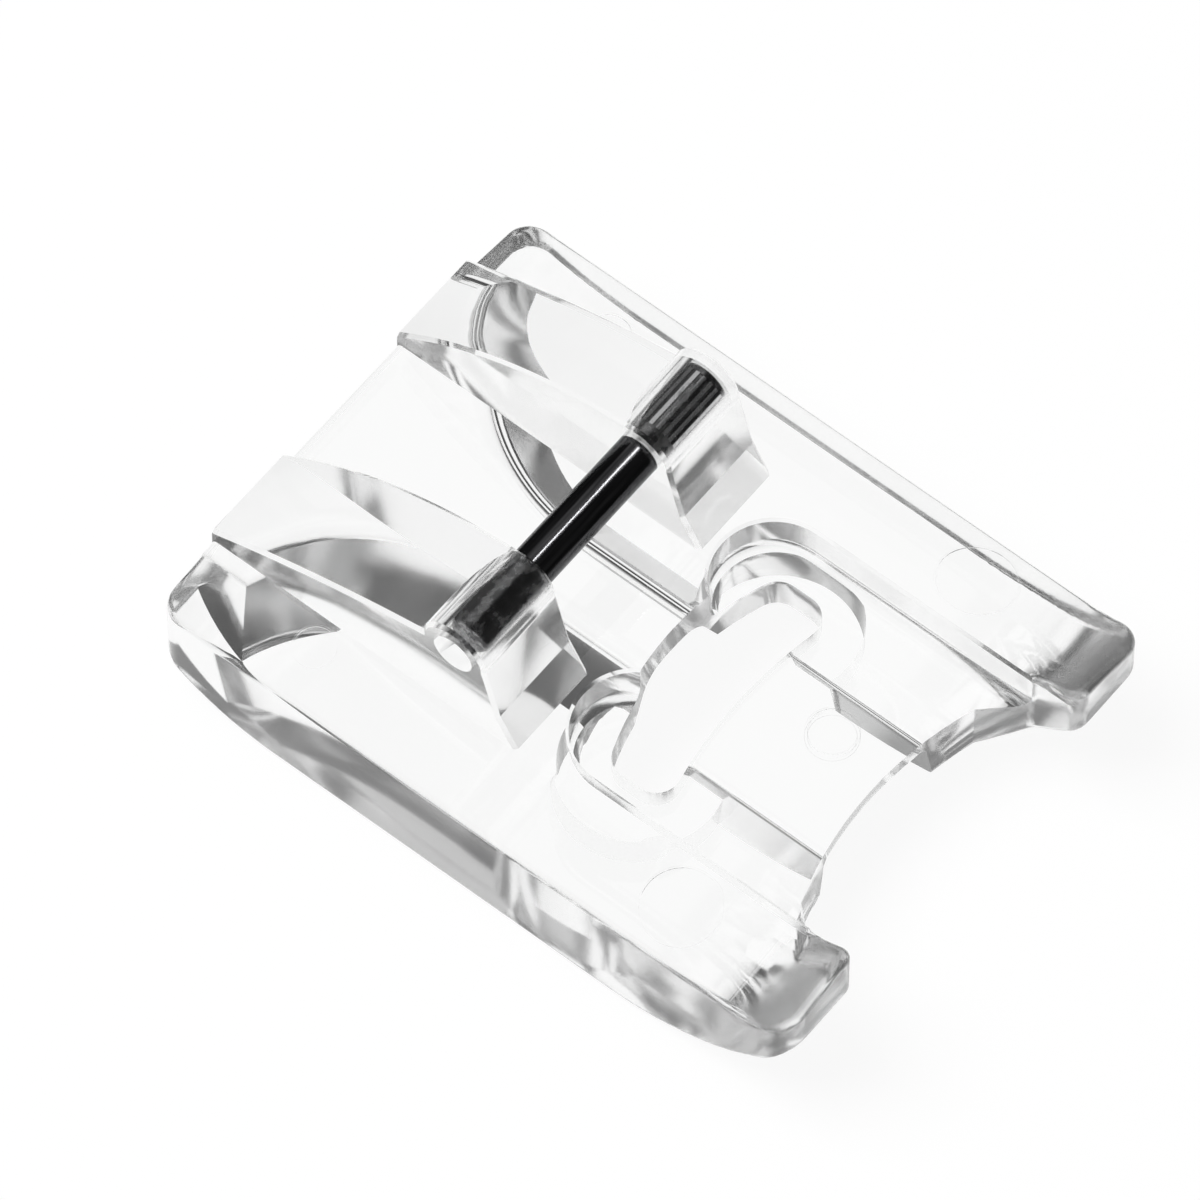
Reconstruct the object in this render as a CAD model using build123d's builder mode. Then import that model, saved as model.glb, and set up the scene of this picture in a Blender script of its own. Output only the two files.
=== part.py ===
"""Clear clip-on presser foot for wide zigzag and satin stitching.

One moulded, clear plastic body with two pierced ears carries a steel cross pin.
The frame has its origin under the middle of the foot, on the plane of the sole:
+X is the user's right, +Y is the rear, +Z is up. Sizes are in millimetres.
"""

import os
from math import acos, atan2, degrees, radians, tan

from build123d import *

# Whole foot
foot_length = 30.2
rear_width = 22.4
toe_width = 22.2
rear_corner_radius = 1.1
heel_lift = 2.2
heel_length = 5.5

# Slab that slides over the fabric
deck_height = 5.7
deck_half_width = 7.7
wing_slope = 9.5
wing_blend_radius = 2.5
rim_radius = 0.3

# Toes, turned up at the tip like a sled
sled_length = 8.5
tip_lift = 4.0
lip_rise = 1.0
lip_length = 2.8
toe_tip_inner = 6.8
toe_root_run = 1.6
toe_root_inner = 5.3
toe_outer_radius = 1.3
toe_inner_radius = 0.6
toe_root_radius = 0.5

# Cross pin that the ankle of the machine clips on to
pin_diameter = 1.8
pin_above_deck = 4.1
pin_from_tips = 18.45
pin_end_chamfer = 0.15

# Ears that hold the pin
ear_gap = 6.7
ear_outer = 7.75
ear_rear_step = 0.6
ear_tilt = 1.1
ear_bulge_inner = 1.15
ear_bulge_outer = 0.3
ear_waist_above_deck = 1.55
ear_waist_from_pin = 2.15
ear_foot_from_pin = 3.0
boss_radius = 1.5
ear_edge_bevel = 0.15
bore_clearance = 0.01
left_bore_recess = 0.8
right_bore_skin = 0.35
bore_end_clearance = 0.05

# Needle slot, bowed to the rear on both long edges
slot_half_width = 5.25
slot_rear_from_pin = 4.3
slot_length = 3.2
slot_rear_bow = 1.1
slot_front_bow = 0.7
slot_corner_radius = 1.0

# Pocket that lets the needle and the stitch be seen
pocket_floor = 3.8
pocket_lobe_radius = 2.55
pocket_lobe_x = 4.2
pocket_lobe_from_pin = 5.95
pocket_blend_radius = 0.9
pocket_floor_radius = 0.5
pocket_rim_bevel = 0.12

# Round recesses in the sole, one under each lobe of the pocket
recess_radius = 3.25
recess_height = 2.2
recess_from_pin = 6.25

# Bridge between the legs, in front of the needle
bridge_behind_tips = 3.75
bridge_bow = 0.9
bridge_thickness = 0.65

# Stitch tunnel along the underside
tunnel_half_width = 3.6
tunnel_height = 4.2
tunnel_draft = 26.0
front_tunnel_draft = 9.0
tunnel_roof_radius = 1.2
front_tunnel_roof_radius = 0.4
tunnel_flare_from_rear = 10.55
tunnel_flare_radius = 7.6
heel_wall = 1.6

# Round marks left by the mould's ejector pins
mark_depth = 0.05
toe_mark_diameter = 3.2
toe_mark_inset = 2.1
toe_mark_from_tip = 6.55
wing_mark_diameter = 1.7
wing_mark_inset = 2.3
wing_mark_behind_pin = 5.8
bridge_mark_diameter = 2.0
bridge_mark_x = 1.2

# Overruns of the cutting shapes, and the slack in picking faces and edges
margin = 3.0
lip_overrun = 30.0
slack = 0.01

# Places worked out from the sizes above
rear_y = foot_length / 2
front_y = -foot_length / 2
pin_y = front_y + pin_from_tips
pin_height = deck_height + pin_above_deck
slot_rear_y = pin_y - slot_rear_from_pin
slot_front_y = slot_rear_y - slot_length
bridge_front_y = front_y + bridge_behind_tips
toe_root_y = bridge_front_y - toe_root_run
pocket_lobe_y = pin_y - pocket_lobe_from_pin
wing_fall = tan(radians(wing_slope))
wing_end = rear_width + toe_width
lip_start_y = front_y + lip_length
lip_radius = (lip_length**2 + lip_rise**2) / (2 * lip_rise)
lip_axis_z = deck_height + lip_radius
lip_turn = 2 * degrees(atan2(lip_rise, lip_length)) + lip_overrun
ear_inner = ear_gap / 2
ear_root = deck_height / 2
flare_start_y = rear_y - tunnel_flare_from_rear
flare_reach = rear_width / 2 - heel_wall - tunnel_half_width
flare_angle = degrees(acos(1 - flare_reach / tunnel_flare_radius))
front_tunnel_height = pocket_floor - bridge_thickness
ceiling = 2 * pin_height


def ear_profile(crown_height, bulge):
    """Draw, in the current line, the side view of an ear from its rear edge over the crown to its foot."""
    rear_top = (rear_y, deck_height + ear_rear_step)
    crown = (pin_y, crown_height)
    middle = ((rear_y + pin_y) / 2, (rear_top[1] + crown_height) / 2 + bulge)
    foot_y = pin_y - ear_foot_from_pin
    ThreePointArc(rear_top, middle, crown)
    Polyline(
        crown,
        (pin_y - boss_radius, pin_height),
        (pin_y - ear_waist_from_pin, deck_height + ear_waist_above_deck),
        (foot_y, deck_height),
        (foot_y, ear_root),
        (rear_y, ear_root),
        rear_top,
    )


# Right ear: it rises from the rear edge to a round boss at the pin, and leans down outwards
with BuildPart() as ear:
    with BuildSketch(Plane.YZ.offset(ear_inner)):
        with BuildLine():
            ear_profile(pin_height + boss_radius, ear_bulge_inner)
        make_face()
    with BuildSketch(Plane.YZ.offset(ear_outer)):
        with BuildLine():
            ear_profile(pin_height + boss_radius - ear_tilt, ear_bulge_outer)
        make_face()
    loft(ruled=True)
    with BuildSketch(Plane.YZ.offset(ear_inner)):
        with Locations((pin_y, pin_height)):
            Circle(boss_radius)
    extrude(amount=ear_outer - ear_inner)
    cheek_edges = ear.faces().filter_by(Axis.X).edges()
    chamfer(cheek_edges.filter_by(lambda edge: edge.center().Z > deck_height), ear_edge_bevel)

# Shape of the pocket in front of the ears: two lobes and a way out over the bridge
with BuildPart() as pocket:
    with BuildSketch(Plane.XY.offset(pocket_floor)) as pocket_plan:
        with BuildLine():
            middle = Line((0, pocket_lobe_y), (pocket_lobe_x - pocket_lobe_radius, pocket_lobe_y))
            lobe = JernArc(middle @ 1, (0, 1), pocket_lobe_radius, -180)
            side = Line(lobe @ 1, ((lobe @ 1).X, front_y - margin))
            Line(side @ 1, (0, front_y - margin))
            mirror(about=Plane.YZ)
        make_face()
        throat = pocket_plan.vertices().filter_by(lambda corner: abs(corner.X) < pocket_lobe_x)
        fillet(throat, pocket_blend_radius)
    extrude(amount=ceiling)
    fillet(pocket.faces().sort_by(Axis.Z)[0].edges(), pocket_floor_radius)
    with BuildSketch(Plane.XY.offset(deck_height - pocket_rim_bevel)):
        add(pocket_plan.sketch_local)
    extrude(amount=2 * pocket_rim_bevel, taper=-45)

# Shape of the round recesses in the sole
with BuildPart() as recess:
    with BuildSketch():
        with Locations((-pocket_lobe_x, pin_y - recess_from_pin), (pocket_lobe_x, pin_y - recess_from_pin)):
            Circle(recess_radius)
    extrude(amount=recess_height)

# Shape of the stitch tunnel behind the needle, flaring out to the heel
with BuildPart() as tunnel:
    with BuildSketch():
        with BuildLine():
            front = Line((0, slot_front_y), (tunnel_half_width, slot_front_y))
            straight = Line(front @ 1, (tunnel_half_width, flare_start_y))
            flare = JernArc(straight @ 1, (0, 1), tunnel_flare_radius, -flare_angle)
            heel_side = Line(flare @ 1, ((flare @ 1).X, rear_y + margin))
            Line(heel_side @ 1, (0, rear_y + margin))
            mirror(about=Plane.YZ)
        make_face()
    extrude(amount=tunnel_height, taper=tunnel_draft)
    fillet(tunnel.faces().sort_by(Axis.Z)[-1].edges(), tunnel_roof_radius)

# Shape of the stitch tunnel under the bridge
with BuildPart() as front_tunnel:
    with BuildSketch():
        with Locations((0, slot_front_y + slot_length / 2)):
            Rectangle(2 * tunnel_half_width, foot_length, align=(Align.CENTER, Align.MAX))
    extrude(amount=front_tunnel_height, taper=front_tunnel_draft)
    fillet(front_tunnel.faces().sort_by(Axis.Z)[-1].edges(), front_tunnel_roof_radius)

# Foot body: slab, ears, pocket, needle slot, stitch tunnel and pin bore
with BuildPart() as foot_body:
    # Plan of the foot, extruded past the height of the toe lips
    with BuildSketch() as plan:
        with BuildLine():
            Polyline(
                (-toe_root_inner, bridge_front_y),
                (-toe_tip_inner, toe_root_y),
                (-toe_tip_inner, front_y),
                (-toe_width / 2, front_y),
                (-rear_width / 2, rear_y),
                (rear_width / 2, rear_y),
                (toe_width / 2, front_y),
                (toe_tip_inner, front_y),
                (toe_tip_inner, toe_root_y),
                (toe_root_inner, bridge_front_y),
            )
            ThreePointArc(
                (toe_root_inner, bridge_front_y),
                (0, bridge_front_y + bridge_bow),
                (-toe_root_inner, bridge_front_y),
            )
        make_face()
        fillet(plan.vertices().filter_by_position(Axis.Y, toe_root_y, bridge_front_y), toe_root_radius)
        fillet(plan.vertices().group_by(Axis.Y)[-1], rear_corner_radius)
        tips = plan.vertices().group_by(Axis.Y)[0].sort_by(Axis.X)
        fillet(tips[1:3], toe_inner_radius)
        tips = plan.vertices().group_by(Axis.Y)[0].sort_by(Axis.X)
        fillet([tips[0], tips[-1]], toe_outer_radius)
    extrude(amount=deck_height + 2 * lip_rise)

    # Sole, turned up at the toe tips and at the heel
    with BuildSketch(Plane.YZ):
        with BuildLine():
            Polyline(
                (front_y + sled_length, 0),
                (front_y + sled_length, -margin),
                (front_y - margin, -margin),
                (front_y - margin, tip_lift),
                (front_y, tip_lift),
            )
            TangentArc((front_y + sled_length, 0), (front_y, tip_lift), tangent=(-1, 0))
        make_face()
        with BuildLine():
            Polyline(
                (rear_y - heel_length, 0),
                (rear_y - heel_length, -margin),
                (rear_y + margin, -margin),
                (rear_y + margin, heel_lift),
                (rear_y, heel_lift),
            )
            TangentArc((rear_y - heel_length, 0), (rear_y, heel_lift), tangent=(1, 0))
        make_face()
    extrude(amount=rear_width, both=True, mode=Mode.SUBTRACT)

    # Deck and its wings, which slope down and outwards, curled up to a lip at the toe tips
    with BuildSketch(Plane.XZ.offset(-lip_start_y)) as above_deck:
        with BuildLine():
            Polyline(
                (0, lip_axis_z),
                (0, deck_height),
                (deck_half_width, deck_height),
                (wing_end, deck_height - (wing_end - deck_half_width) * wing_fall),
                (wing_end, lip_axis_z),
                (0, lip_axis_z),
            )
        make_face()
        mirror(about=Plane.YZ)
    extrude(amount=-foot_length, mode=Mode.SUBTRACT)
    revolve(above_deck.sketch, Axis((0, lip_start_y, lip_axis_z), (-1, 0, 0)), lip_turn, mode=Mode.SUBTRACT)

    left_crease = foot_body.edges().filter_by_position(Axis.X, -deck_half_width, -deck_half_width)
    right_crease = foot_body.edges().filter_by_position(Axis.X, deck_half_width, deck_half_width)
    fillet(left_crease + right_crease, wing_blend_radius)

    # Rounded rims along the top and the sole of the outer wall
    outer_wall = foot_body.faces().filter_by(lambda face: abs(face.normal_at().Z) < slack)
    rims = outer_wall.edges().filter_by(Axis.Z, reverse=True)
    fillet(rims, rim_radius)

    # Ears on both sides of the channel
    add(ear.part)
    mirror(ear.part, about=Plane.YZ)

    # Pocket in front of the ears
    add(pocket.part, mode=Mode.SUBTRACT)

    # Needle slot
    with BuildSketch() as slot:
        with BuildLine():
            slot_rear_corner = slot_rear_y - slot_rear_bow
            slot_front_corner = slot_front_y - slot_front_bow
            ThreePointArc(
                (-slot_half_width, slot_rear_corner),
                (0, slot_rear_y),
                (slot_half_width, slot_rear_corner),
            )
            Line((slot_half_width, slot_rear_corner), (slot_half_width, slot_front_corner))
            ThreePointArc(
                (slot_half_width, slot_front_corner),
                (0, slot_front_y),
                (-slot_half_width, slot_front_corner),
            )
            Line((-slot_half_width, slot_front_corner), (-slot_half_width, slot_rear_corner))
        make_face()
        fillet(slot.vertices(), slot_corner_radius)
    extrude(amount=ceiling, mode=Mode.SUBTRACT)

    # Round recesses in the sole
    add(recess.part, mode=Mode.SUBTRACT)

    # Stitch tunnel behind the needle and under the bridge
    add(tunnel.part, mode=Mode.SUBTRACT)
    add(front_tunnel.part, mode=Mode.SUBTRACT)

    # Bore for the cross pin, open on the left and blind on the right
    with BuildSketch(Plane.YZ.offset(-ear_outer - margin)):
        with Locations((pin_y, pin_height)):
            Circle(pin_diameter / 2 + bore_clearance)
    extrude(amount=2 * ear_outer + margin - right_bore_skin, mode=Mode.SUBTRACT)

    # Ejector marks on the wings, the toes and the bridge
    for side in (1, -1):
        for x, y, diameter in (
            (toe_width / 2 - toe_mark_inset, front_y + toe_mark_from_tip, toe_mark_diameter),
            (rear_width / 2 - wing_mark_inset, pin_y + wing_mark_behind_pin, wing_mark_diameter),
        ):
            wing_top = deck_height - (x - deck_half_width) * wing_fall
            with BuildSketch(Plane(origin=(side * x, y, wing_top), z_dir=(side * wing_fall, 0, 1))):
                Circle(diameter / 2)
            extrude(amount=-mark_depth, mode=Mode.SUBTRACT)
    with BuildSketch(Plane.XY.offset(pocket_floor)):
        with Locations((bridge_mark_x, (slot_front_y + bridge_front_y) / 2)):
            Circle(bridge_mark_diameter / 2)
    extrude(amount=-mark_depth, mode=Mode.SUBTRACT)

# Cross pin, pressed in through the open bore
pin_start = -ear_outer + left_bore_recess
pin_end = ear_outer - right_bore_skin - bore_end_clearance
with BuildPart() as cross_pin:
    with BuildSketch(Plane.YZ.offset(pin_start)):
        with Locations((pin_y, pin_height)):
            Circle(pin_diameter / 2)
    extrude(amount=pin_end - pin_start)
    chamfer(cross_pin.edges().filter_by(GeomType.CIRCLE), pin_end_chamfer)

os.makedirs("parts", exist_ok=True)
foot_body.part.label = "foot_body"
export_step(foot_body.part, "parts/foot_body.step")
cross_pin.part.label = "cross_pin"
export_step(cross_pin.part, "parts/cross_pin.step")
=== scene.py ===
"""Clear presser foot with a steel cross pin: its finishes, its ridged pin and a white table for it."""

import math

import bpy
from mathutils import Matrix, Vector


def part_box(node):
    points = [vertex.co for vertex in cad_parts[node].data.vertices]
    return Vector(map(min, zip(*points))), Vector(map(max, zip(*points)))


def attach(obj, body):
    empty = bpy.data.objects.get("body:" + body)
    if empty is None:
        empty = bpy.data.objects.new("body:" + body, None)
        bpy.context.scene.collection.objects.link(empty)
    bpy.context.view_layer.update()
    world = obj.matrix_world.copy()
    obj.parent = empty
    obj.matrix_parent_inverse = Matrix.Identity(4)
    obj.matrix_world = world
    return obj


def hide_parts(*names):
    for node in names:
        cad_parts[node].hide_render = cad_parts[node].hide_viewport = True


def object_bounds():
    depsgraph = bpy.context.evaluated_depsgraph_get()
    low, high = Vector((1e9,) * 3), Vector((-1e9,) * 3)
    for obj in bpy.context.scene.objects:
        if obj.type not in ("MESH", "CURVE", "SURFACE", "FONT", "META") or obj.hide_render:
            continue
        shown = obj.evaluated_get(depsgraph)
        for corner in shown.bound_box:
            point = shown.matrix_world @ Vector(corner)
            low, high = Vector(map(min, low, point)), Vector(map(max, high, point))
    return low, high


bl_info = {
    "name": "Clear presser foot",
    "version": (1, 0, 0),
    "blender": (4, 5, 0),
    "location": "View3D > Sidebar > Presser foot",
    "description": "Finishes a clear presser foot, makes its ridged cross pin and sets up the table, "
                   "lights and camera",
    "category": "Object",
}

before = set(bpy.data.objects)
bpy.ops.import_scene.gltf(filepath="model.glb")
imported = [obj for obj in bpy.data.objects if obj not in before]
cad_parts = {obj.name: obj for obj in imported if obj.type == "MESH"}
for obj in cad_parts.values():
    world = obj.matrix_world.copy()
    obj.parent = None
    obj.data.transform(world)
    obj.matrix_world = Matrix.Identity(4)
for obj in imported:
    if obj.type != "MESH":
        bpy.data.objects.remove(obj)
cad_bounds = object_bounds()
pin_low, pin_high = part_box("cross_pin")
# Point of the pin's axis on the foot's middle plane
pin_axis = Vector((0.0, (pin_low.y + pin_high.y) / 2, (pin_low.z + pin_high.z) / 2))

# Middle and radius, in metres, of the round marks that the mould's ejector pins leave
EJECTOR_MARKS = (
    (0.0090, -0.00855, 0.0016),
    (-0.0090, -0.00855, 0.0016),
    (0.0089, 0.00915, 0.00085),
    (-0.0089, 0.00915, 0.00085),
    (0.0012, -0.00775, 0.0010),
)
# Height above the sole, in metres, over which a face shows those marks
MARK_FLOOR = 0.003

# Noise between which the plastic goes from polished to dull from handling
PATCH_LIMITS = (0.5, 0.8)
# How level a face is, from wall to flat, while the wall's dullness fades out
WALL_LIMITS = (0.35, 0.95)
# Distances in metres, from the front end and from the pin's axis, over which toes and bosses clear up
TOE_REACH = (0.0012, 0.0030)
BOSS_REACH = (0.00155, 0.00190)
# Share of the fine rub marks in the relief of the plastic
RUB_SHARE = 0.15

# Noise between which the drawn steel goes from dark to bright, its roughness and the depth of its lines
LINE_TONES = (0.35, 0.7)
STEEL_ROUGHNESS = (0.08, 0.24)
DRAWN_LINE_DEPTH = 0.000004
# Noise between which a scuff on the pin's ends deepens, and how far it goes to bright and rough
SCUFF_LIMITS = (0.46, 0.66)
SCUFF_DEPTH = 0.7
# How squarely a face looks along the pin to be one of its ends, and the steps that round off each rim
END_FACING = 0.9
RIM_STEPS = 3
PIN_SMOOTHING = math.radians(30.0)

TABLE_SIDES = 96
COVE_STEPS = 8
TABLE_SMOOTHING = math.radians(40.0)
# Brightness of the table's grain beside its colour
GRAIN_TONE = 0.98
# Heights in the room, as a share, between which it darkens
ROOM_HEIGHTS = (0.1, 0.8)
# Nearness to the window's direction at its outer and its inner edge
WINDOW_EDGE = (0.90, 0.97)
# Place, width and depth of each light in metres
WIDE_LIGHT = ((-0.25, 0.45, 0.9), 0.7, 0.7)
STRIP_LIGHT = ((0.38, -0.05, 0.88), 0.06, 0.5)
# Turns that light may take in the clear plastic
BOUNCES = {"max_bounces": 32, "glossy_bounces": 24, "transmission_bounces": 32}


class PresserFootFinish(bpy.types.PropertyGroup):
    """Clear plastic of the foot and steel of its pin."""

    plastic_colour: bpy.props.FloatVectorProperty(
        name="Plastic colour",
        description="Tint that light takes on at each surface of the clear plastic",
        subtype="COLOR",
        size=4,
        min=0.0,
        max=1.0,
        default=(0.998, 1.0, 0.998, 1.0),
    )
    plastic_ior: bpy.props.FloatProperty(
        name="Plastic refraction",
        description="Index of refraction of the clear plastic",
        default=1.53,
        min=1.0,
        max=2.0,
    )
    polish: bpy.props.FloatProperty(
        name="Polish",
        description="Roughness of the cleanest moulded faces",
        subtype="FACTOR",
        default=0.0,
        min=0.0,
        max=1.0,
    )
    haze: bpy.props.FloatProperty(
        name="Haze",
        description="Roughness added where the moulded faces are dull from handling",
        subtype="FACTOR",
        default=0.03,
        min=0.0,
        max=1.0,
    )
    wall_haze: bpy.props.FloatProperty(
        name="Wall haze",
        description="Roughness added on the walls and rims, which the mould leaves duller than "
                    "the flat faces",
        subtype="FACTOR",
        default=0.14,
        min=0.0,
        max=1.0,
    )
    toe_haze: bpy.props.FloatProperty(
        name="Toe haze",
        description="Roughness added on the turned-up toe tips",
        subtype="FACTOR",
        default=0.22,
        min=0.0,
        max=1.0,
    )
    boss_haze: bpy.props.FloatProperty(
        name="Boss haze",
        description="Roughness added on the round bosses and in their bores",
        subtype="FACTOR",
        default=0.10,
        min=0.0,
        max=1.0,
    )
    mark_line: bpy.props.FloatProperty(
        name="Mark line",
        description="Width of the line round each ejector mark",
        subtype="DISTANCE",
        unit="LENGTH",
        default=0.00012,
        min=0.0,
        precision=6,
    )
    mark_relief: bpy.props.FloatProperty(
        name="Mark relief",
        description="Depth of the line round each ejector mark",
        subtype="DISTANCE",
        unit="LENGTH",
        default=0.00004,
        min=0.0,
        precision=6,
    )
    ripple: bpy.props.FloatProperty(
        name="Ripple",
        description="Depth of the slow waves that the mould leaves on the plastic",
        subtype="DISTANCE",
        unit="LENGTH",
        default=0.000004,
        min=0.0,
        precision=6,
    )
    steel_light: bpy.props.FloatVectorProperty(
        name="Bright steel",
        description="Colour of the drawn steel on the crests of its fine lines",
        subtype="COLOR",
        size=4,
        min=0.0,
        max=1.0,
        default=(0.10, 0.10, 0.103, 1.0),
    )
    steel_dark: bpy.props.FloatVectorProperty(
        name="Dark steel",
        description="Colour of the drawn steel between its fine lines",
        subtype="COLOR",
        size=4,
        min=0.0,
        max=1.0,
        default=(0.035, 0.035, 0.037, 1.0),
    )
    # Painted highlight on the ridge crests; on the scuffed ends the same colour is bright worn steel
    scuff_steel_and_crest_highlight: bpy.props.FloatVectorProperty(
        name="Ridge steel",
        description="Colour of the steel on the crests of the ridged end",
        subtype="COLOR",
        size=4,
        min=0.0,
        max=1.0,
        default=(0.75, 0.75, 0.76, 1.0),
    )


class PresserFootPin(bpy.types.PropertyGroup):
    """Cross pin with straight ridges on the end that is pressed in first."""

    sides: bpy.props.IntProperty(
        name="Sides",
        description="Number of faces round the pin, two to a ridge",
        default=40,
        min=12,
        max=240,
    )
    ridge_length: bpy.props.FloatProperty(
        name="Ridge length",
        description="Length of the ridged end",
        subtype="DISTANCE",
        unit="LENGTH",
        default=0.0032,
        min=0.0,
        precision=5,
    )
    bare_length: bpy.props.FloatProperty(
        name="Bare length",
        description="Length between the ears, which pressing the pin in doesn't scuff",
        subtype="DISTANCE",
        unit="LENGTH",
        default=0.0067,
        min=0.0,
        precision=5,
    )
    groove_depth: bpy.props.FloatProperty(
        name="Groove depth",
        description="Depth of the grooves between the ridges",
        subtype="DISTANCE",
        unit="LENGTH",
        default=0.00007,
        min=0.0,
        precision=6,
    )
    groove_wall: bpy.props.FloatProperty(
        name="Groove wall",
        description="How far the sides of each groove slope in",
        subtype="DISTANCE",
        unit="LENGTH",
        default=0.00003,
        min=0.0,
        precision=6,
    )
    end_round: bpy.props.FloatProperty(
        name="End rounding",
        description="Radius along the rim of each end",
        subtype="DISTANCE",
        unit="LENGTH",
        default=0.00015,
        min=0.0,
        precision=6,
    )


class PresserFootStage(bpy.types.PropertyGroup):
    """White table, lights and camera."""

    table_radius: bpy.props.FloatProperty(
        name="Table radius",
        description="Radius of the flat part of the table",
        subtype="DISTANCE",
        unit="LENGTH",
        default=1.2,
    )
    cove_height: bpy.props.FloatProperty(
        name="Cove height",
        description="Height of the curved rim round the table",
        subtype="DISTANCE",
        unit="LENGTH",
        default=0.3,
    )
    table_gap: bpy.props.FloatProperty(
        name="Table gap",
        description="Film of air that keeps the sole from sharing its plane with the table",
        subtype="DISTANCE",
        unit="LENGTH",
        default=0.00003,
        precision=6,
    )
    table_colour: bpy.props.FloatVectorProperty(
        name="Table colour",
        description="Colour of the table and its rim",
        subtype="COLOR",
        size=4,
        min=0.0,
        max=1.0,
        default=(0.9, 0.9, 0.9, 1.0),
    )
    shadow_share: bpy.props.FloatProperty(
        name="Shadow share",
        description="How much of the table's own shading is left in its white",
        subtype="FACTOR",
        default=0.07,
        min=0.0,
        max=1.0,
    )
    # Painted pool of light: round the foot the table glows white in the plastic and the steel, and it dims
    # farther off
    bright_radius: bpy.props.FloatProperty(
        name="Bright radius",
        description="Radius round the foot within which the table is full white in the plastic "
                    "and the steel",
        subtype="DISTANCE",
        unit="LENGTH",
        default=0.021,
        min=0.0,
        precision=4,
    )
    dim_radius: bpy.props.FloatProperty(
        name="Dim radius",
        description="Radius beyond which the table is dim in the plastic and the steel",
        subtype="DISTANCE",
        unit="LENGTH",
        default=0.06,
        min=0.0,
        precision=4,
    )
    dim_share: bpy.props.FloatProperty(
        name="Dim share",
        description="How bright the table is beyond the dim radius",
        subtype="FACTOR",
        default=0.06,
        min=0.0,
        max=1.0,
    )
    room_low: bpy.props.FloatVectorProperty(
        name="Room near the table",
        description="Light of the room just above the table",
        subtype="COLOR",
        size=4,
        default=(0.12, 0.12, 0.12, 1.0),
    )
    room_high: bpy.props.FloatVectorProperty(
        name="Room overhead",
        description="Light of the room overhead",
        subtype="COLOR",
        size=4,
        default=(0.06, 0.06, 0.06, 1.0),
    )
    window_light: bpy.props.FloatVectorProperty(
        name="Window",
        description="Light of the large soft window above, behind and to the right of the foot",
        subtype="COLOR",
        size=4,
        default=(0.55, 0.55, 0.55, 1.0),
    )
    window_direction: bpy.props.FloatVectorProperty(
        name="Window direction",
        description="Direction from the foot to the middle of the window",
        subtype="DIRECTION",
        default=(0.394, 0.315, 0.863),
    )
    key_power: bpy.props.FloatProperty(
        name="Key light",
        description="Power of the wide soft light",
        unit="POWER",
        default=14.0,
        min=0.0,
    )
    strip_power: bpy.props.FloatProperty(
        name="Strip light",
        description="Power of the narrow light that draws the line on the pin",
        unit="POWER",
        default=3.0,
        min=0.0,
    )
    camera_target: bpy.props.FloatVectorProperty(
        name="Camera target",
        description="Point that the camera is set out from, at the middle of the pin",
        subtype="XYZ",
        unit="LENGTH",
        default=pin_axis,
        precision=5,
    )
    camera_turn: bpy.props.FloatProperty(
        name="Camera turn",
        description="Turn of the camera round the foot, from its front towards its right",
        subtype="ANGLE",
        default=math.radians(-51.33),
    )
    camera_rise: bpy.props.FloatProperty(
        name="Camera rise",
        description="Angle of the camera above the table",
        subtype="ANGLE",
        default=math.radians(59.68),
    )
    camera_distance: bpy.props.FloatProperty(
        name="Camera distance",
        description="Distance from the camera to its target",
        subtype="DISTANCE",
        unit="LENGTH",
        default=0.4695,
    )
    camera_lens: bpy.props.FloatProperty(
        name="Camera lens",
        description="Focal length of the camera in millimetres",
        default=375.6,
    )
    camera_shift: bpy.props.FloatVectorProperty(
        name="Camera shift",
        description="Sideways and upward shift of the picture, as a share of its width",
        size=2,
        default=(0.0145, -0.072),
    )


def add_node(tree, kind, place, inputs=None, **settings):
    """Add a node at a place in the sheet, with its settings, and link or set the inputs named."""
    made = tree.nodes.new(kind)
    made.location = place
    for name, value in settings.items():
        setattr(made, name, value)
    for key, value in (inputs or {}).items():
        if isinstance(value, bpy.types.NodeSocket):
            tree.links.new(value, made.inputs[key])
        else:
            made.inputs[key].default_value = value
    return made


def add_math(tree, place, operation, *sources):
    """Work out a number from outputs of other nodes and plain numbers."""
    made = add_node(tree, "ShaderNodeMath", place, dict(enumerate(sources)), operation=operation)
    return made.outputs["Value"]


def add_range(tree, place, source, limits, results, **settings):
    """Turn a value that runs between two limits into one between two results."""
    inputs = {
        "Value": source,
        "From Min": limits[0],
        "From Max": limits[1],
        "To Min": results[0],
        "To Max": results[1],
    }
    return add_node(tree, "ShaderNodeMapRange", place, inputs, **settings).outputs["Result"]


def add_ramp(tree, place, source, *stops):
    """Turn a value into a colour that blends from stop to stop."""
    made = add_node(tree, "ShaderNodeValToRGB", place, {"Fac": source})
    for stop, (position, colour) in zip(made.color_ramp.elements, stops):
        stop.position = position
        stop.color = colour
    return made.outputs["Color"]


def add_scaled_place(tree, place, source, scale):
    """Stretch or flatten the place that a pattern is read at."""
    made = add_node(tree, "ShaderNodeMapping", place, {"Vector": source, "Scale": scale})
    return made.outputs["Vector"]


def add_noise(tree, place, source, scale, detail, roughness=0.5):
    """Add an uneven pattern, with its number of waves to a metre."""
    inputs = {"Vector": source, "Scale": scale, "Detail": detail, "Roughness": roughness}
    return add_node(tree, "ShaderNodeTexNoise", place, inputs).outputs["Fac"]


def add_distance(tree, place, source, point):
    """Measure how far a place is from a point."""
    inputs = {0: source, 1: point}
    made = add_node(tree, "ShaderNodeVectorMath", place, inputs, operation="DISTANCE")
    return made.outputs["Value"]


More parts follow.
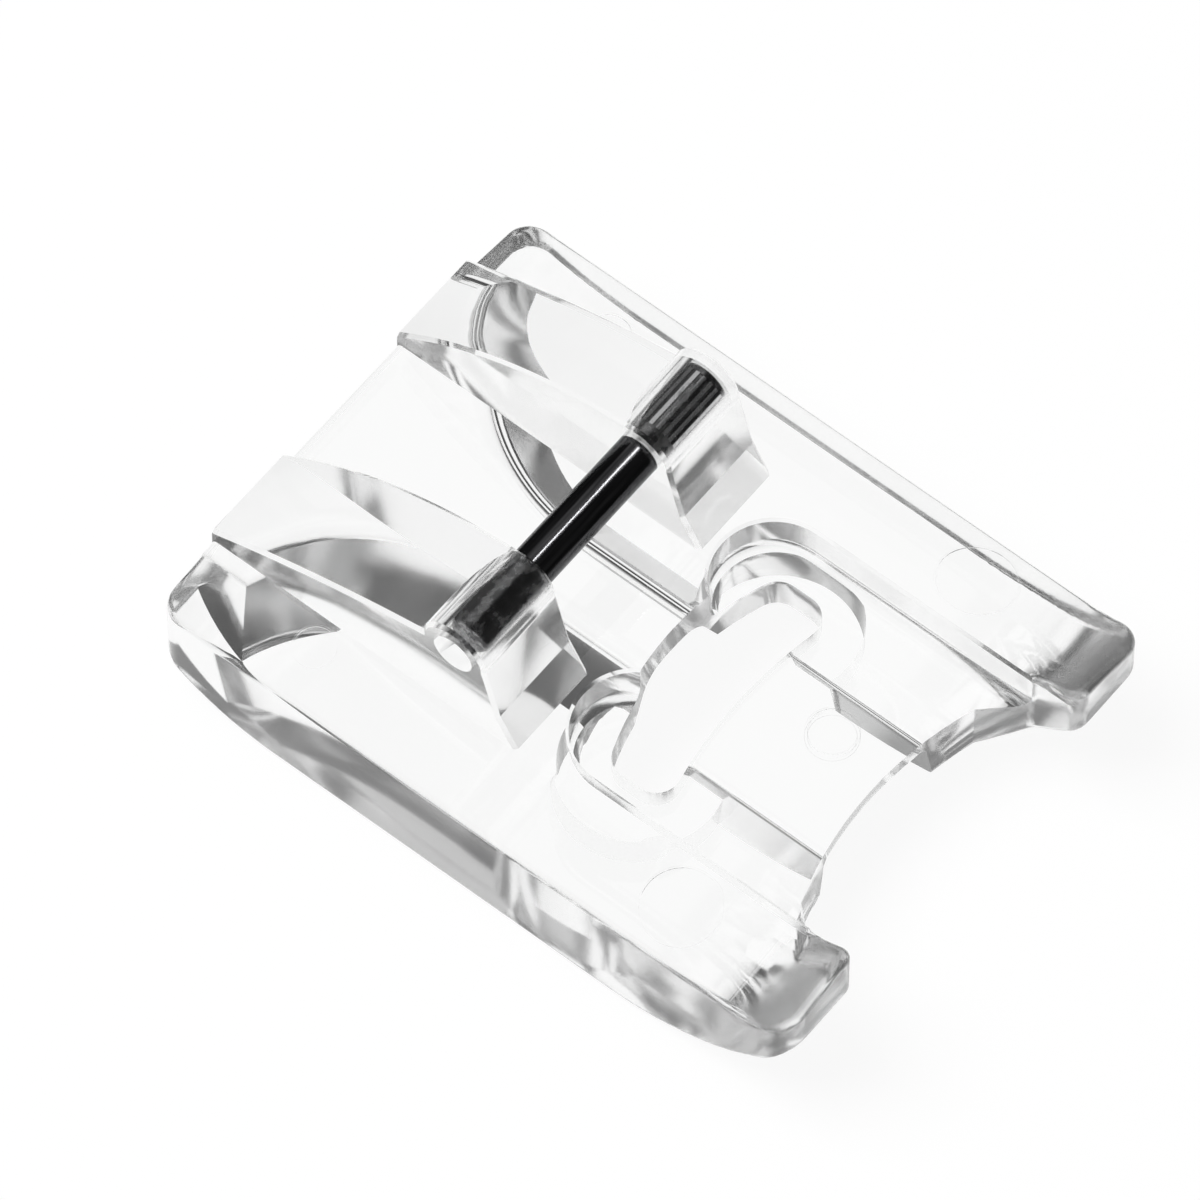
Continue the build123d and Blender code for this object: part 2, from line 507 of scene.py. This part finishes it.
def start_material(name):
    """Make an empty material, and return it with its node tree and its Texture Coordinate outputs."""
    material = bpy.data.materials.new(name)
    material.use_nodes = True
    tree = material.node_tree
    tree.nodes.clear()
    return material, tree, add_node(tree, "ShaderNodeTexCoord", (-900, 0)).outputs


def finish_material(tree, surface):
    """Lead a shader to the surface of the material."""
    add_node(tree, "ShaderNodeOutputMaterial", (900, 0), {"Surface": surface})


def plastic_dullness(tree, coords, spread, finish):
    """Roughness of the plastic: patches from handling, on top of the dullest of wall, toe and boss."""
    patches = add_noise(tree, (-600, 200), coords["Object"], 420.0, 4.0, 0.6)
    polished = (finish.polish, finish.polish + finish.haze)
    handled = add_range(tree, (-300, 200), patches, PATCH_LIMITS, polished)

    facing = add_node(tree, "ShaderNodeSeparateXYZ", (-600, 450), {"Vector": coords["Normal"]})
    level = add_math(tree, (-450, 450), "ABSOLUTE", facing.outputs["Z"])
    wall = add_range(tree, (-300, 450), level, WALL_LIMITS, (finish.wall_haze, 0.0))

    toe_limits = [cad_bounds[0].y + reach for reach in TOE_REACH]
    toe = add_range(tree, (-300, 650), spread["Y"], toe_limits, (finish.toe_haze, 0.0))

    beside = add_scaled_place(tree, (-600, 850), coords["Object"], (0.0, 1.0, 1.0))
    from_pin = add_distance(tree, (-450, 850), beside, pin_axis)
    boss = add_range(tree, (-300, 850), from_pin, BOSS_REACH, (finish.boss_haze, 0.0))

    worn = add_math(tree, (-100, 550), "MAXIMUM", toe, wall)
    dulled = add_math(tree, (-50, 750), "MAXIMUM", boss, worn)
    return add_math(tree, (0, 300), "ADD", handled, dulled)


def mould_waves(tree, coords, finish):
    """Slow waves that the mould leaves, with a share of fine rub marks along the foot."""
    waves = add_noise(tree, (-600, -150), coords["Object"], 260.0, 1.0, 0.4)
    stretched = add_scaled_place(tree, (-750, -400), coords["Object"], (1.0, 0.08, 1.0))
    rubs = add_noise(tree, (-600, -400), stretched, 1400.0, 3.0, 0.55)
    shares = {"Factor": RUB_SHARE, "A": waves, "B": rubs}
    relief = add_node(tree, "ShaderNodeMix", (-300, -250), shares, data_type="FLOAT")
    inputs = {"Strength": 0.5, "Distance": finish.ripple, "Height": relief.outputs["Result"]}
    return add_node(tree, "ShaderNodeBump", (300, -250), inputs).outputs["Normal"]


def ejector_rings(tree, coords, spread, finish, waves):
    """A fine sunk line round each ejector mark, on the upper faces only, over the waves."""
    flat = add_scaled_place(tree, (-750, -700), coords["Object"], (1.0, 1.0, 0.0))
    rings = 0.0
    for number, (x, y, radius) in enumerate(EJECTOR_MARKS):
        row = -800 - 200 * number
        from_middle = add_distance(tree, (-550, row), flat, (x, y, 0.0))
        ring = add_math(tree, (-350, row), "COMPARE", from_middle, radius, finish.mark_line / 2)
        rings = add_math(tree, (-150, row), "MAXIMUM", rings, ring)
    upper = add_math(tree, (-300, -550), "GREATER_THAN", spread["Z"], MARK_FLOOR)
    shown = add_math(tree, (100, -600), "MULTIPLY", rings, upper)
    inputs = {"Distance": finish.mark_relief, "Height": shown, "Normal": waves}
    return add_node(tree, "ShaderNodeBump", (450, -500), inputs, invert=True).outputs["Normal"]


def clear_plastic_material(finish):
    """Clear moulded plastic, duller on its walls, toes and bosses, with faint waves and ejector marks."""
    material, tree, coords = start_material("clear_plastic_finish")
    split = add_node(tree, "ShaderNodeSeparateXYZ", (-750, 650), {"Vector": coords["Object"]})
    spread = split.outputs
    waves = mould_waves(tree, coords, finish)
    plastic = add_node(tree, "ShaderNodeBsdfPrincipled", (600, 0), {
        "Base Color": finish.plastic_colour,
        "IOR": finish.plastic_ior,
        "Transmission Weight": 1.0,
        "Roughness": plastic_dullness(tree, coords, spread, finish),
        "Normal": ejector_rings(tree, coords, spread, finish, waves),
    })
    finish_material(tree, plastic.outputs["BSDF"])
    return material


def crest_highlight_mask(tree, spread, pin):
    """The crests of the ridged end, where a highlight is painted: every other face round the pin, between
    its two rims.
    """
    across = add_math(tree, (-500, 700), "SUBTRACT", spread["Y"], pin_axis.y)
    above = add_math(tree, (-500, 500), "SUBTRACT", spread["Z"], pin_axis.z)
    turn = add_math(tree, (-300, 600), "ARCTAN2", above, across)
    count = add_math(tree, (-100, 600), "MULTIPLY", turn, pin.sides / (4 * math.pi))
    part = add_math(tree, (50, 600), "FRACT", count)
    crest = add_math(tree, (200, 600), "GREATER_THAN", part, 0.5)
    middle = pin_high.x - pin.ridge_length / 2 - pin.end_round
    reach = pin.ridge_length / 2 - pin.end_round
    ridged = add_math(tree, (50, 800), "COMPARE", spread["X"], middle, reach)
    return add_math(tree, (350, 700), "MULTIPLY", crest, ridged)


def press_scuffs(tree, coords, spread, pin):
    """Scuffs along the two ends of the pin, from pressing it into the ears."""
    drag = add_scaled_place(tree, (-700, 1000), coords["Object"], (0.55, 1.0, 1.0))
    scuffs = add_noise(tree, (-500, 1000), drag, 2400.0, 4.0, 0.65)
    depth = add_range(tree, (-300, 1000), scuffs, SCUFF_LIMITS, (0.0, SCUFF_DEPTH))
    sideways = add_math(tree, (-500, 1200), "ABSOLUTE", spread["X"])
    pressed = add_math(tree, (-300, 1200), "GREATER_THAN", sideways, pin.bare_length / 2)
    return add_math(tree, (-100, 1100), "MULTIPLY", depth, pressed)


def drawn_steel_material(finish, pin):
    """Dark drawn steel with fine lines along the pin, scuffed in the ears, and a painted highlight on its
    crests.
    """
    material, tree, coords = start_material("drawn_steel_finish")
    split = add_node(tree, "ShaderNodeSeparateXYZ", (-700, 600), {"Vector": coords["Object"]})
    spread = split.outputs
    drawn = add_scaled_place(tree, (-700, 0), coords["Object"], (0.03, 1.0, 1.0))
    lines = add_noise(tree, (-500, 0), drawn, 9000.0, 3.0, 0.6)
    dark, light = LINE_TONES
    tones = add_ramp(tree, (-200, 150), lines, (dark, finish.steel_dark), (light, finish.steel_light))
    dull = add_range(tree, (-200, -100), lines, (0.0, 1.0), STEEL_ROUGHNESS)
    fine = {"Strength": 0.4, "Distance": DRAWN_LINE_DEPTH, "Height": lines}
    bump = add_node(tree, "ShaderNodeBump", (300, -300), fine)

    scuffed = press_scuffs(tree, coords, spread, pin)
    # Painted highlight on the ridge crests, and bright scuffs of real wear on the pin's two ends
    bright = add_math(tree, (500, 800), "MAXIMUM", crest_highlight_mask(tree, spread, pin), scuffed)
    colours = {"Factor": bright, "A": tones, "B": finish.scuff_steel_and_crest_highlight}
    metal = add_node(tree, "ShaderNodeMix", (450, 300), colours, data_type="RGBA")
    steel = add_node(tree, "ShaderNodeBsdfPrincipled", (600, 0), {
        "Base Color": metal.outputs["Result"],
        "Metallic": 1.0,
        "Roughness": add_math(tree, (300, -100), "MAXIMUM", dull, scuffed),
        "Normal": bump.outputs["Normal"],
    })
    finish_material(tree, steel.outputs["BSDF"])
    return material


def white_table_material(stage):
    """White table for the camera, and a painted pool of light round the foot for plastic and steel, with
    some of its shading.
    """
    material, tree, coords = start_material("white_table_finish")
    rays = add_node(tree, "ShaderNodeLightPath", (-600, 400)).outputs
    grain = add_noise(tree, (-400, -150), coords["Object"], 900.0, 2.0)
    tones = {
        "Factor": grain,
        "A": stage.table_colour,
        "B": [GRAIN_TONE * part for part in stage.table_colour],
    }
    tone = add_node(tree, "ShaderNodeMix", (0, -150), tones, data_type="RGBA")
    paper = add_node(tree, "ShaderNodeBsdfDiffuse", (300, -150), {"Color": tone.outputs["Result"]})

    middle = {0: coords["Object"]}
    away = add_node(tree, "ShaderNodeVectorMath", (-400, 700), middle, operation="LENGTH")
    limits = (stage.bright_radius, stage.dim_radius)
    # Painted pool of light round the foot, seen in the plastic and the steel; the camera sees the table
    # evenly white
    painted_light_pool = add_range(
        tree, (-200, 700), away.outputs["Value"], limits, (1.0, stage.dim_share),
        interpolation_type="SMOOTHSTEP",
    )
    glow = add_math(tree, (0, 700), "MAXIMUM", painted_light_pool, rays["Is Camera Ray"])
    white = add_node(tree, "ShaderNodeEmission", (300, 100), {"Color": glow, "Strength": 1.0})

    seen = add_math(tree, (-300, 500), "MULTIPLY", rays["Is Camera Ray"], 1.0 - stage.shadow_share)
    bounced = add_math(tree, (-300, 300), "MAXIMUM", rays["Is Glossy Ray"], rays["Is Transmission Ray"])
    share = add_math(tree, (0, 400), "MAXIMUM", seen, bounced)
    layers = {"Fac": share, 1: paper.outputs["BSDF"], 2: white.outputs["Emission"]}
    mix = add_node(tree, "ShaderNodeMixShader", (600, 0), layers)
    finish_material(tree, mix.outputs["Shader"])
    return material


def deselect_everything():
    """Leave nothing selected, so that the next operator acts on its own piece only."""
    if bpy.context.object and bpy.context.object.mode != "OBJECT":
        bpy.ops.object.mode_set(mode="OBJECT")
    bpy.ops.object.select_all(action="DESELECT")


def select_faces(piece, wanted):
    """In edit mode, select just the faces for which wanted(face) is true."""
    bpy.ops.object.mode_set(mode="OBJECT")
    mesh = piece.data
    for item in (*mesh.vertices, *mesh.edges, *mesh.polygons):
        item.select = False
    count = 0
    for face in mesh.polygons:
        face.select = bool(wanted(face))
        count += face.select
    bpy.ops.object.mode_set(mode="EDIT")
    bpy.ops.mesh.select_mode(type="FACE")
    if not count:
        raise RuntimeError(f"no face to work on in {piece.name}")


class PRESSERFOOT_OT_clear_body(bpy.types.Operator):
    """Give the moulded body its clear plastic"""

    bl_idname = "presser_foot.clear_body"
    bl_label = "Clear body"

    def execute(self, context):
        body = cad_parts["foot_body"]
        body.material_slots[0].material = clear_plastic_material(context.scene.presser_foot_finish)
        return {"FINISHED"}


class PRESSERFOOT_OT_cross_pin(bpy.types.Operator):
    """Make the steel cross pin, with its ridged end and rounded rims"""

    bl_idname = "presser_foot.cross_pin"
    bl_label = "Cross pin"

    def execute(self, context):
        pin = context.scene.presser_foot_pin
        length = pin_high.x - pin_low.x
        radius = (pin_high.y - pin_low.y) / 2
        ridge_start = pin_high.x - pin.ridge_length
        ridge_end = pin_high.x - 2 * pin.end_round
        deselect_everything()
        bpy.ops.mesh.primitive_cylinder_add(
            vertices=pin.sides,
            radius=radius,
            depth=length,
            location=(pin_low + pin_high) / 2,
            rotation=(0.0, math.pi / 2, 0.0),
        )
        piece = context.object
        piece.name = "steel_cross_pin"
        piece.data.name = "steel_cross_pin"
        bpy.ops.object.transform_apply(location=True, rotation=True, scale=True)

        bpy.ops.object.mode_set(mode="EDIT")
        for cut in (ridge_start, ridge_end):
            bpy.ops.mesh.select_all(action="SELECT")
            bpy.ops.mesh.bisect(plane_co=(cut, 0.0, 0.0), plane_no=(1.0, 0.0, 0.0))
        select_faces(piece, lambda face: abs(face.normal.x) > END_FACING)
        bpy.ops.mesh.region_to_loop()
        bpy.ops.mesh.bevel(offset=pin.end_round, segments=RIM_STEPS)

        step = 2 * math.pi / pin.sides

        def is_groove(face):
            turn = math.atan2(face.center.z - pin_axis.z, face.center.y - pin_axis.y) / step
            return ridge_start < face.center.x < ridge_end and math.floor(turn) % 2 == 0

        select_faces(piece, is_groove)
        bpy.ops.mesh.inset(thickness=pin.groove_wall, depth=-pin.groove_depth, use_individual=True)
        bpy.ops.mesh.select_all(action="SELECT")
        bpy.ops.mesh.normals_make_consistent(inside=False)
        bpy.ops.object.mode_set(mode="OBJECT")
        bpy.ops.object.shade_smooth_by_angle(angle=PIN_SMOOTHING)
        piece.data.materials.append(drawn_steel_material(context.scene.presser_foot_finish, pin))
        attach(piece, "root")
        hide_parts("cross_pin")
        return {"FINISHED"}


class PRESSERFOOT_OT_stage(bpy.types.Operator):
    """Set up the white table, the room with its window, the lights and the camera"""

    bl_idname = "presser_foot.stage"
    bl_label = "Stage"

    def execute(self, context):
        stage = context.scene.presser_foot_stage
        self.make_table(context, stage)
        self.make_room(context, stage)
        self.make_lights(context, stage)
        self.make_camera(context, stage)
        context.scene.view_settings.view_transform = "Standard"
        for name, number in BOUNCES.items():
            setattr(context.scene.cycles, name, number)
        return {"FINISHED"}

    def make_table(self, context, stage):
        """A round table with a rim that curves up all the way round."""
        deselect_everything()
        bpy.ops.mesh.primitive_circle_add(
            vertices=TABLE_SIDES,
            radius=stage.table_radius,
            fill_type="NGON",
            location=(0.0, 0.0, -stage.table_gap),
        )
        table = context.object
        table.name = "white_table"
        bpy.ops.object.mode_set(mode="EDIT")
        select_faces(table, lambda face: True)
        bpy.ops.mesh.region_to_loop()
        for number in range(COVE_STEPS):
            start = math.pi / 2 * number / COVE_STEPS
            end = math.pi / 2 * (number + 1) / COVE_STEPS
            rise = stage.cove_height * (math.cos(start) - math.cos(end))
            inner = stage.table_radius + stage.cove_height * math.sin(start)
            outer = stage.table_radius + stage.cove_height * math.sin(end)
            bpy.ops.mesh.extrude_edges_move(TRANSFORM_OT_translate={"value": (0.0, 0.0, rise)})
            wider = outer / inner
            bpy.ops.transform.resize(value=(wider, wider, 1.0), center_override=(0.0, 0.0, 0.0))
        bpy.ops.mesh.select_all(action="SELECT")
        bpy.ops.mesh.normals_make_consistent(inside=False)
        bpy.ops.object.mode_set(mode="OBJECT")
        bpy.ops.object.shade_smooth_by_angle(angle=TABLE_SMOOTHING)
        table.data.materials.append(white_table_material(stage))

    def make_room(self, context, stage):
        """A dim room round the table, darker overhead, with one large soft window."""
        room = bpy.data.worlds.new("dim_room")
        room.use_nodes = True
        tree = room.node_tree
        tree.nodes.clear()
        direction = add_node(tree, "ShaderNodeTexCoord", (-900, 0)).outputs["Generated"]
        split = add_node(tree, "ShaderNodeSeparateXYZ", (-700, 150), {"Vector": direction})
        low, high = ROOM_HEIGHTS
        stops = ((low, stage.room_low), (high, stage.room_high))
        tones = add_ramp(tree, (-500, 150), split.outputs["Z"], *stops)
        inputs = {0: direction, 1: Vector(stage.window_direction).normalized()}
        towards = add_node(tree, "ShaderNodeVectorMath", (-700, -150), inputs, operation="DOT_PRODUCT")
        edge = add_range(
            tree, (-500, -150), towards.outputs["Value"], WINDOW_EDGE, (0.0, 1.0),
            interpolation_type="SMOOTHSTEP",
        )
        colours = {"Factor": edge, "A": tones, "B": stage.window_light}
        window = add_node(tree, "ShaderNodeMix", (-200, 0), colours, data_type="RGBA")
        glow = add_node(tree, "ShaderNodeBackground", (0, 0), {"Color": window.outputs["Result"]})
        add_node(tree, "ShaderNodeOutputWorld", (200, 0), {"Surface": glow.outputs["Background"]})
        context.scene.world = room

    def add_light(self, context, name, place, width, depth, power):
        """Add a soft light that faces the foot."""
        lamp = bpy.data.lights.new(name, "AREA")
        lamp.shape = "RECTANGLE"
        lamp.size = width
        lamp.size_y = depth
        lamp.energy = power
        light = bpy.data.objects.new(name, lamp)
        light.location = place
        light.rotation_euler = Vector(place).to_track_quat("Z", "Y").to_euler()
        context.scene.collection.objects.link(light)
        return light

    def make_lights(self, context, stage):
        """A wide soft light from above and behind, and a narrow one that draws a line on the pin alone."""
        key = self.add_light(context, "wide_light", *WIDE_LIGHT, stage.key_power)
        # A lamp seen through the plastic would whiten its dark edges, so both are hidden there
        key.visible_glossy = False
        key.visible_transmission = False
        strip = self.add_light(context, "strip_light", *STRIP_LIGHT, stage.strip_power)
        strip.visible_transmission = False
        shining = bpy.data.collections.new("strip_light_reach")
        shining.objects.link(bpy.data.objects["steel_cross_pin"])
        strip.light_linking.receiver_collection = shining

    def make_camera(self, context, stage):
        """A camera at the viewing angle of the picture."""
        lens = bpy.data.cameras.new("table_camera")
        lens.sensor_width = 36.0
        lens.lens = stage.camera_lens
        lens.shift_x, lens.shift_y = stage.camera_shift
        lens.clip_start = 0.01
        lens.clip_end = 20.0
        camera = bpy.data.objects.new("table_camera", lens)
        back = Vector((
            math.sin(stage.camera_turn) * math.cos(stage.camera_rise),
            -math.cos(stage.camera_turn) * math.cos(stage.camera_rise),
            math.sin(stage.camera_rise),
        ))
        camera.location = Vector(stage.camera_target) + back * stage.camera_distance
        camera.rotation_euler = back.to_track_quat("Z", "Y").to_euler()
        context.scene.collection.objects.link(camera)
        context.scene.camera = camera


class PRESSERFOOT_PT_sidebar(bpy.types.Panel):
    """Sizes, colours and steps of the presser foot"""

    bl_idname = "PRESSERFOOT_PT_sidebar"
    bl_label = "Presser foot"
    bl_space_type = "VIEW_3D"
    bl_region_type = "UI"
    bl_category = "Presser foot"

    def draw(self, context):
        layout = self.layout
        for operator, group in STEPS:
            settings = getattr(context.scene, group)
            box = layout.box()
            for name in settings.__annotations__:
                box.prop(settings, name)
            box.operator(operator)


GROUPS = {
    "presser_foot_finish": PresserFootFinish,
    "presser_foot_pin": PresserFootPin,
    "presser_foot_stage": PresserFootStage,
}
STEPS = (
    ("presser_foot.clear_body", "presser_foot_finish"),
    ("presser_foot.cross_pin", "presser_foot_pin"),
    ("presser_foot.stage", "presser_foot_stage"),
)
CLASSES = (
    *GROUPS.values(),
    PRESSERFOOT_OT_clear_body,
    PRESSERFOOT_OT_cross_pin,
    PRESSERFOOT_OT_stage,
    PRESSERFOOT_PT_sidebar,
)


def register():
    """Add the settings, steps and panel."""
    for cls in CLASSES:
        bpy.utils.register_class(cls)
    for name, cls in GROUPS.items():
        setattr(bpy.types.Scene, name, bpy.props.PointerProperty(type=cls))


def unregister():
    """Take the settings, steps and panel away."""
    for name in GROUPS:
        delattr(bpy.types.Scene, name)
    for cls in reversed(CLASSES):
        bpy.utils.unregister_class(cls)


def main():
    """Make the whole scene."""
    register()
    bpy.ops.presser_foot.clear_body()
    bpy.ops.presser_foot.cross_pin()
    bpy.ops.presser_foot.stage()


if __name__ == "__main__":
    main()
